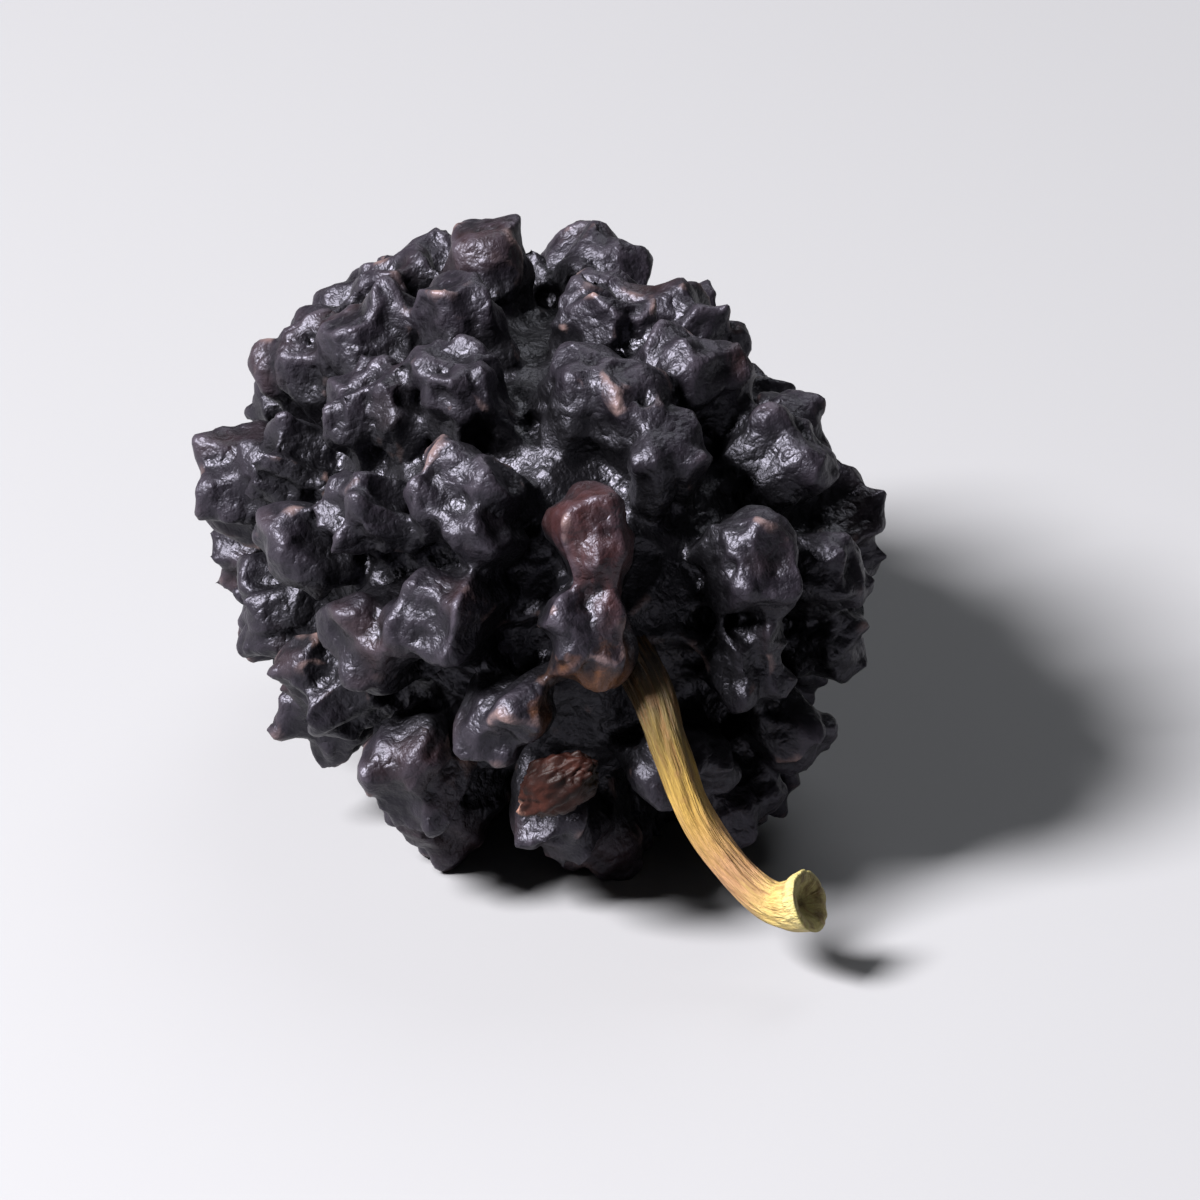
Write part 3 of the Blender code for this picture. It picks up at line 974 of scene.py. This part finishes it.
def skin_material():
    """Blue-black dried skin with a satin sheen, a little moister in the gaps, and finely crinkled."""
    finish = Finish("fruit_skin")
    fold = finish.attribute("fold")
    hollow = finish.attribute("hollow")
    finish.shade("Base Color", skin_colour(finish, fold, hollow))
    grain = finish.noise(*SKIN_GRAIN)
    moist = finish.span(hollow, MOIST_HOLLOW, MOIST_CHANGE)
    finish.shade("Roughness", finish.plus(finish.span(grain, NOISE_MIDDLE, SKIN_ROUGHNESS), moist))
    finish.shade("Specular IOR Level", SKIN_SPECULAR)
    finish.shade("Specular Tint", SKIN_TINT)
    crinkle = finish.combine("SUBTRACT", finish.noise(*SKIN_CRINKLE), CRINKLE_MIDDLE)
    crinkle = finish.combine("ABSOLUTE", crinkle, 0.0)
    height = finish.plus(finish.times(crinkle, CRINKLE_SHARE), finish.times(grain, GRAIN_SHARE))
    finish.bump(height, SKIN_BUMP)
    return finish.material


def stalk_material():
    """Straw yellow: olive at the root, pinkish tan along the middle, with brown spots, furrows and pith."""
    finish = Finish("stalk_straw")
    share = finish.attribute("share")
    rolled = finish.stretched(finish.attribute("rolled", "Vector"), STREAK_STRETCH)
    streak = finish.noise(*STREAKS, rolled)
    colour = finish.ramp(finish.plus(share, finish.span(streak, NOISE_MIDDLE, STREAK_SWING)), STALK_STOPS)
    spots = finish.span(finish.noise(*STALK_SPOTS), SPOT_SPAN)
    colour = finish.mix(finish.times(spots, SPOT_STRENGTH), colour, SPOT_BROWN)
    furrow = finish.span(streak, FURROW_SPAN)
    colour = finish.mix(finish.times(furrow, FURROW_STRENGTH), colour, FURROW_BROWN)
    pith = finish.times(finish.span(share, SCAR_SPAN), finish.noise(*SCAR_PITH))
    colour = finish.mix(finish.span(pith, PITH_SPAN), colour, PITH_BROWN)
    finish.shade("Base Color", colour)
    finish.shade("Roughness", finish.span(streak, NOISE_MIDDLE, STALK_ROUGHNESS))
    finish.shade("Specular IOR Level", STALK_SPECULAR)
    finish.bump(finish.plus(streak, pith), STALK_BUMP)
    return finish.material


def seed_material():
    """Dark red-brown seed coat, mottled and dull, with a worn pinkish tip."""
    finish = Finish("seed_coat")
    mottle = finish.noise(*SEED_MOTTLE)
    tip = finish.plus(finish.attribute("tip"), finish.span(mottle, NOISE_MIDDLE, TIP_SWING))
    colour = finish.mix(finish.span(tip, TIP_SPAN), finish.ramp(mottle, SEED_STOPS), TIP_PINK)
    finish.shade("Base Color", colour)
    finish.shade("Roughness", finish.span(mottle, NOISE_MIDDLE, SEED_ROUGHNESS))
    finish.shade("Specular IOR Level", SEED_SPECULAR)
    finish.bump(finish.noise(*SEED_GRAIN), SEED_BUMP)
    return finish.material


def make_floor():
    """A plain pale floor that runs out of view."""
    signs = ((-1.0, -1.0), (1.0, -1.0), (1.0, 1.0), (-1.0, 1.0))
    corners = np.array([(x * FLOOR_HALF_SIZE, y * FLOOR_HALF_SIZE, 0.0) for x, y in signs])
    mesh = mesh_from("floor", corners, [[0, 1, 2, 3]])
    finish = Finish("floor_paper")
    finish.shade("Base Color", FLOOR_GREY)
    finish.shade("Roughness", FLOOR_ROUGHNESS)
    finish.shade("Specular IOR Level", FLOOR_SPECULAR)
    mesh.materials.append(finish.material)
    add_object("floor", mesh)


def aim(item, azimuth, elevation, distance, target):
    """Puts a camera or light at a distance from its target and turns it there, with its angles in degrees."""
    turn = math.radians(azimuth)
    rise = math.radians(elevation)
    back = Vector((math.sin(turn) * math.cos(rise), -math.cos(turn) * math.cos(rise), math.sin(rise)))
    item.location = target + back * distance
    item.rotation_euler = (-back).to_track_quat("-Z", "Y").to_euler()


def make_light(name, azimuth, elevation, distance, size, power, colour):
    """A round soft light aimed at the fruit."""
    data = bpy.data.lights.new(name, "AREA")
    data.shape = "DISK"
    data.size = size
    data.energy = power
    data.color = colour
    aim(add_object(name, data), CAMERA_AZIMUTH + azimuth, elevation, distance, LIGHT_TARGET)


def make_surround():
    """A dim even light from all sides."""
    world = bpy.data.worlds.new("studio")
    world.use_nodes = True
    surround = world.node_tree.nodes["Background"]
    surround.inputs["Color"].default_value = (*SURROUND_COLOUR, 1.0)
    surround.inputs["Strength"].default_value = SURROUND_STRENGTH
    bpy.context.scene.world = world


def make_studio():
    """Camera, a soft key from the upper left, a weak fill, a light from behind and a dim even surround."""
    data = bpy.data.cameras.new("camera")
    data.lens = CAMERA_LENS
    data.clip_start = CAMERA_NEAREST
    data.clip_end = CAMERA_FARTHEST
    camera = add_object("camera", data)
    aim(camera, CAMERA_AZIMUTH, CAMERA_ELEVATION, CAMERA_DISTANCE, CAMERA_TARGET)
    bpy.context.scene.camera = camera
    bpy.context.scene.view_settings.view_transform = "Standard"
    for light in LIGHTS:
        make_light(*light)
    make_surround()


make_studio()
make_floor()
make_fruit()
make_stalk()
make_seed()
